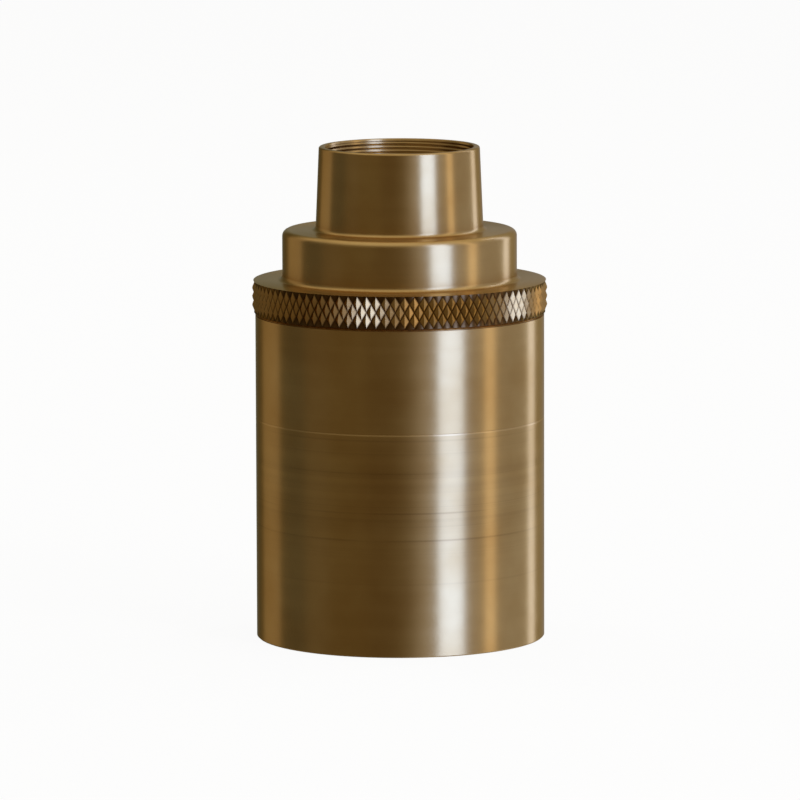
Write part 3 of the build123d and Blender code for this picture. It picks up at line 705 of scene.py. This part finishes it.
def finish(nodes, made):
    """Give these CAD nodes a material on their own object's slot."""
    for name in nodes:
        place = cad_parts[name].material_slots[0]
        place.link = "OBJECT"
        place.material = made


fibre, tree = material("vulcanised fibre sheet")
spot_mm = millimetres(tree)
felt = add(tree, "ShaderNodeTexNoise",
           {"Vector": spot_mm, "Scale": 1 / grain_size, "Detail": 4.0, "Roughness": 0.6})
tone = add(tree, "ShaderNodeMapRange", {0: felt, 1: 0.3, 2: 0.7})
colour = add(tree, "ShaderNodeMix", {0: tone, 6: linear("#6d3527"), 7: linear("#834434")}, data_type="RGBA")
relief = add(tree, "ShaderNodeBump", {"Strength": 0.3, "Distance": 0.02 * mm, "Height": felt})
surface = add(tree, "ShaderNodeBsdfPrincipled",
              {"Base Color": colour.outputs[2], "Roughness": 0.58, "Normal": relief})
add(tree, "ShaderNodeOutputMaterial", {"Surface": surface})
finish(["insulating_liner", "insulating_disc"], fibre)


# Porcelain insert: pressed, fired and glazed electrical porcelain, which carries the screw shell and
# the terminals. The glaze is thin and glossy, cream white, and a little wavy where it ran.
ripple_size = 2.5
speck_size = 0.4

glazed, tree = material("glazed electrical porcelain")
spot_mm = millimetres(tree)
ripple = add(tree, "ShaderNodeTexNoise", {"Vector": spot_mm, "Scale": 1 / ripple_size, "Detail": 1.0})
specks = add(tree, "ShaderNodeTexNoise", {"Vector": spot_mm, "Scale": 1 / speck_size, "Detail": 2.0})
few = add(tree, "ShaderNodeMapRange", {0: specks, 1: 0.70, 2: 0.76, 3: 0.0, 4: 0.35})
colour = add(tree, "ShaderNodeMix", {0: few, 6: linear("#ece7da"), 7: linear("#b7a88a")}, data_type="RGBA")
relief = add(tree, "ShaderNodeBump", {"Strength": 0.25, "Distance": 0.05 * mm, "Height": ripple})
surface = add(tree, "ShaderNodeBsdfPrincipled",
              {"Base Color": colour.outputs[2], "Roughness": 0.12, "IOR": 1.52, "Normal": relief})
add(tree, "ShaderNodeOutputMaterial", {"Surface": surface})
finish(["porcelain_insert"], glazed)


# Screw shell: a cup of 0.4 mm brass sheet with the lamp's thread rolled into its wall, held in the
# porcelain by two rivets through its floor. The rolled turns are round, and the brass is bright.
shell_foot, shell_head = (corner.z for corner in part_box("screw_shell"))
shell_sheet = 0.4 * mm
shell_minor = 12.25 * mm
shell_hole = 7.4 * mm
lamp_pitch = 3.629 * mm
lamp_thread_depth = 1.1 * mm
lamp_rows = 12
shell_columns = 144
drawing_size = 3.0

sheet_brass, tree = material("plain sheet brass, rolled and pressed")
spot_mm = millimetres(tree)
clouds = add(tree, "ShaderNodeTexNoise", {"Vector": spot_mm, "Scale": 1 / drawing_size, "Detail": 4.0})
tone = add(tree, "ShaderNodeMapRange", {0: clouds, 1: 0.3, 2: 0.7})
colour = add(tree, "ShaderNodeMix", {0: tone, 6: linear("#cfa964"), 7: linear("#ddbb7a")}, data_type="RGBA")
rough = add(tree, "ShaderNodeMapRange", {0: clouds, 1: 0.3, 2: 0.7, 3: 0.22, 4: 0.34})
surface = add(tree, "ShaderNodeBsdfPrincipled",
              {"Base Color": colour.outputs[2], "Metallic": 1.0, "Roughness": rough})
add(tree, "ShaderNodeOutputMaterial", {"Surface": surface})

# The thread runs out over half a turn below the cup's floor, so that the wall meets it round
wall_rows = round((shell_head - shell_sheet - shell_foot) / lamp_pitch * lamp_rows)
run_out = lamp_rows // 2
outline = []
weights = []
for row in range(wall_rows + 1):
    rise = (shell_head - shell_foot) * row / wall_rows
    outline.append(Vector((shell_minor + shell_sheet, shell_foot + rise)))
    weights.append(min(1, (wall_rows - row) / run_out))
outline += [Vector((shell_hole, shell_head)), Vector((shell_hole, shell_head - shell_sheet))]
weights += [0, 0]
for row in range(wall_rows, -1, -1):
    rise = (shell_head - shell_sheet - shell_foot) * row / wall_rows
    outline.append(Vector((shell_minor, shell_foot + rise)))
    weights.append(min(1, (wall_rows - row) / run_out))
shell = turn("screw_shell_rolled", outline, shell_columns,
             {"thread": weights, "knurl": [0] * len(outline)})
cut_by(shell, cutting, {
    "Knurl teeth": 1.0, "Knurl row": knurl_row, "Knurl depth": 0.0, "Thread pitch": lamp_pitch,
    "Thread start": shell_foot, "Thread depth": lamp_thread_depth, "Thread rounding": 1.0,
    "Material": sheet_brass})
finish_edges(shell, 40)
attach(shell, "insert")
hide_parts("screw_shell")


# Terminals and contact: strips stamped from brass sheet, riveted to the porcelain, with clamp plates
# and screws that hold the cord's wires, and the sprung contact that meets the lamp. All are bright.
finish(["centre_contact", "live_strip", "live_rivets", "live_clamp_plate", "live_screw", "neutral_strip",
        "neutral_rivets", "neutral_clamp_plate", "neutral_screw"], sheet_brass)


# Contact spring: hard-drawn spring wire, wound cold round a mandrel. It is greyer than the plated parts
# and smooth, stands between the strip and the contact's flange, and closes up as a lamp presses in.
wire_thickness = 0.5 * mm
coil_diameter = 4.4 * mm
coil_turns = 5.0
steps_to_turn = 48
wire_sides = 12
spring_low, spring_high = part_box("contact_spring")

drawn_wire, tree = material("hard-drawn spring wire")
surface = add(tree, "ShaderNodeBsdfPrincipled",
              {"Base Color": linear("#8f9194"), "Metallic": 1.0, "Roughness": 0.3})
add(tree, "ShaderNodeOutputMaterial", {"Surface": surface})

winding = bpy.data.node_groups.new("wound wire", "GeometryNodeTree")
for label, kind in (("Geometry", "Geometry"), ("Turns", "Float"), ("Coil radius", "Float"), ("Rise", "Float"),
                    ("Wire radius", "Float"), ("Foot", "Vector"), ("Material", "Material")):
    winding.interface.new_socket(label, in_out="INPUT", socket_type="NodeSocket" + kind)
winding.interface.new_socket("Geometry", in_out="OUTPUT", socket_type="NodeSocketGeometry")
given = add(winding, "NodeGroupInput").outputs
coil = add(winding, "GeometryNodeCurveSpiral",
           {"Resolution": steps_to_turn, "Rotations": given["Turns"], "Start Radius": given["Coil radius"],
            "End Radius": given["Coil radius"], "Height": given["Rise"]})
round_wire = add(winding, "GeometryNodeCurvePrimitiveCircle",
                 {"Resolution": wire_sides, "Radius": given["Wire radius"]})
tube = add(winding, "GeometryNodeCurveToMesh",
           {"Curve": coil, "Profile Curve": round_wire.outputs["Curve"], "Fill Caps": True})
seated = add(winding, "GeometryNodeTransform", {"Geometry": tube, "Translation": given["Foot"]})
real = add(winding, "GeometryNodeRealizeInstances", {0: seated})
done = add(winding, "GeometryNodeSetMaterial", {"Geometry": real, "Material": given["Material"]})
add(winding, "NodeGroupOutput", {0: done})

spring = mesh_object("contact_spring_wound", bpy.data.meshes.new("contact_spring_wound"))
cut_by(spring, winding, {
    "Turns": coil_turns, "Coil radius": coil_diameter / 2, "Wire radius": wire_thickness / 2,
    "Rise": spring_high.z - spring_low.z - wire_thickness,
    "Foot": (0.0, 0.0, spring_low.z + wire_thickness / 2), "Material": drawn_wire})
finish_edges(spring)
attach(spring, "insert")
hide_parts("contact_spring")
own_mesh(spring)


# Steel parts: the hollow bolt with its washers and locknut, the bridge that carries the porcelain, its
# screws and nuts, and the earth terminal. Turned and pressed from mild steel and zinc plated, so they
# are pale grey with a faint mottle and a soft shine.
mottle_size = 1.2

zinc_plate, tree = material("zinc-plated steel")
spot_mm = millimetres(tree)
mottle = add(tree, "ShaderNodeTexNoise", {"Vector": spot_mm, "Scale": 1 / mottle_size, "Detail": 3.0})
tone = add(tree, "ShaderNodeMapRange", {0: mottle, 1: 0.3, 2: 0.7})
colour = add(tree, "ShaderNodeMix", {0: tone, 6: linear("#b3b6b8"), 7: linear("#c4c5c2")}, data_type="RGBA")
rough = add(tree, "ShaderNodeMapRange", {0: mottle, 1: 0.3, 2: 0.7, 3: 0.28, 4: 0.4})
surface = add(tree, "ShaderNodeBsdfPrincipled",
              {"Base Color": colour.outputs[2], "Metallic": 1.0, "Roughness": rough})
add(tree, "ShaderNodeOutputMaterial", {"Surface": surface})
finish(["hollow_bolt", "bolt_locknut", "upper_thrust_washer", "lower_thrust_washer", "cord_grip_washer",
        "mounting_bridge", "bridge_screws", "bridge_nuts", "earth_clamp_plate", "earth_screw"], zinc_plate)


# Cord grip: a rubber ring, squeezed round the cord by a washer and a brass nut in the hollow bolt's
# head. The ring is moulded black rubber, matt, and the nut is turned brass without lacquer.
black_rubber, tree = material("moulded black rubber")
surface = add(tree, "ShaderNodeBsdfPrincipled", {"Base Color": linear("#1c1b1a"), "Roughness": 0.78})
add(tree, "ShaderNodeOutputMaterial", {"Surface": surface})
finish(["cord_grip_ring"], black_rubber)
finish(["cord_grip_nut"], sheet_brass)
